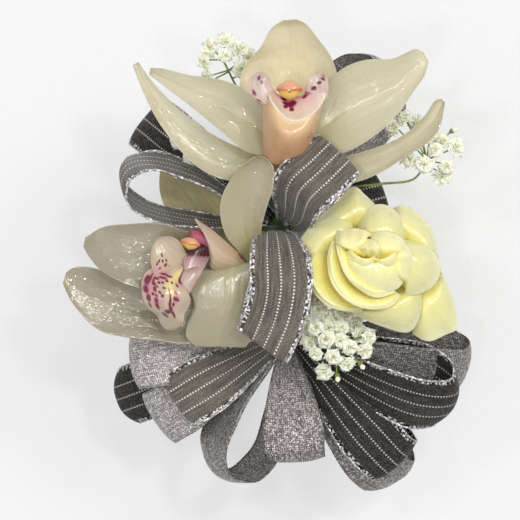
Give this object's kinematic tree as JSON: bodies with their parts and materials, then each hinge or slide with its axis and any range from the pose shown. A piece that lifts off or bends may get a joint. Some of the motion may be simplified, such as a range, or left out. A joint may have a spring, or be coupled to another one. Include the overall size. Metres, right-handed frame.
{
  "type": "wrist corsage",
  "caption": "Wrist corsage of orchids, a cream rose, baby's breath and dark organza and silver ribbon loops, wired to a clip plate on an elastic wristlet.",
  "frame": {"origin": "middle of the wristlet's flat underside", "axes": "+Z from the wristlet up through the flowers, +Y along the forearm towards the upper orchid, +X towards the rose"},
  "size_m": [0.1116, 0.1293, 0.0919],
  "materials": {
    "elastic": "woven elastic, matt",
    "plate": "stamped, satin",
    "tape": "waxed crepe paper",
    "wire": "drawn wire",
    "stems": "green stems",
    "calyx": "green calyx and stem",
    "column": "waxy",
    "anther": "waxy",
    "lip": "wet petal",
    "tepal": "wet petal",
    "rose_petal": "wet petal",
    "organza": "sheer weave with metallic edges and pinstripes",
    "lame": "metallic weave",
    "babys_breath": "small double florets on green twigs"
  },
  "bodies": {
    "wristlet_and_bows": {"band_left_side": "elastic", "band_right_side": "elastic", "band_top": "elastic", "behind_rose_organza_loop": "organza", "bottom_left_silver_loop": "lame", "bottom_silver_loop": "lame", "centre_organza_loop": "organza", "clip_plate": "plate", "far_left_organza_loop": "organza", "far_upper_left_organza_loop": "organza", "front_organza_loop": "organza", "left_silver_loop": "lame", "left_sprig": "babys_breath", "lower_left_organza_loop": "organza", "lower_left_silver_loop": "lame", "lower_right_organza_loop": "organza", "lower_right_silver_loop": "lame", "lower_sprig": "babys_breath", "lower_tie_wire": "wire", "right_organza_loop": "organza", "right_silver_loop": "lame", "right_sprig": "babys_breath", "stem_bundle": "stems", "stem_tape": "tape", "top_left_sprig": "babys_breath", "top_silver_loop": "lame", "upper_left_organza_loop": "organza", "upper_tie_wire": "wire"},
    "elastic_underside": {"band_underside": "elastic", "band_seam_tab": "elastic"},
    "top_orchid": {"top_orchid_anther_cap": "anther", "top_orchid_column": "column", "top_orchid_dorsal_sepal": "tepal", "top_orchid_left_lateral_sepal": "tepal", "top_orchid_left_petal": "tepal", "top_orchid_lip": "lip", "top_orchid_right_lateral_sepal": "tepal", "top_orchid_right_petal": "tepal", "top_orchid_wired_stem": "stems"},
    "left_orchid": {"left_orchid_anther_cap": "anther", "left_orchid_column": "column", "left_orchid_dorsal_sepal": "tepal", "left_orchid_left_lateral_sepal": "tepal", "left_orchid_left_petal": "tepal", "left_orchid_lip": "lip", "left_orchid_right_lateral_sepal": "tepal", "left_orchid_right_petal": "tepal", "left_orchid_wired_stem": "stems"},
    "rose": {"rose_calyx_and_wired_stem": "calyx", "rose_heart": "rose_petal", "rose_heart_petal_back": "rose_petal", "rose_heart_petal_front": "rose_petal", "rose_inner_petal_bottom": "rose_petal", "rose_inner_petal_left": "rose_petal", "rose_inner_petal_right": "rose_petal", "rose_inner_petal_top": "rose_petal", "rose_outer_petal_corner": "rose_petal", "rose_outer_petal_left": "rose_petal", "rose_outer_petal_right": "rose_petal", "rose_outer_petal_top": "rose_petal"}
  },
  "joints": [
    {"name": "band_stretch", "type": "slide", "parent": "wristlet_and_bows", "child": "elastic_underside", "axis": [0, 0, -1], "range_m": [0, 0.025], "stiffness_N_per_m": 270, "deforming": ["band_left_side", "band_right_side"]},
    {"name": "top_orchid_tilt", "type": "hinge", "parent": "wristlet_and_bows", "child": "top_orchid", "pos_m": [0.0015, 0.022, 0.0521], "axis": [-1, 0, 0], "range_deg": [0, 8]},
    {"name": "left_orchid_tilt", "type": "hinge", "parent": "wristlet_and_bows", "child": "left_orchid", "pos_m": [-0.0015, 0.0005, 0.0521], "axis": [0, -1, 0], "range_deg": [0, 4]},
    {"name": "rose_tilt", "type": "hinge", "parent": "wristlet_and_bows", "child": "rose", "pos_m": [0.0043, 0.003, 0.0478], "axis": [0, 1, 0], "range_deg": [0, 6]}
  ]
}
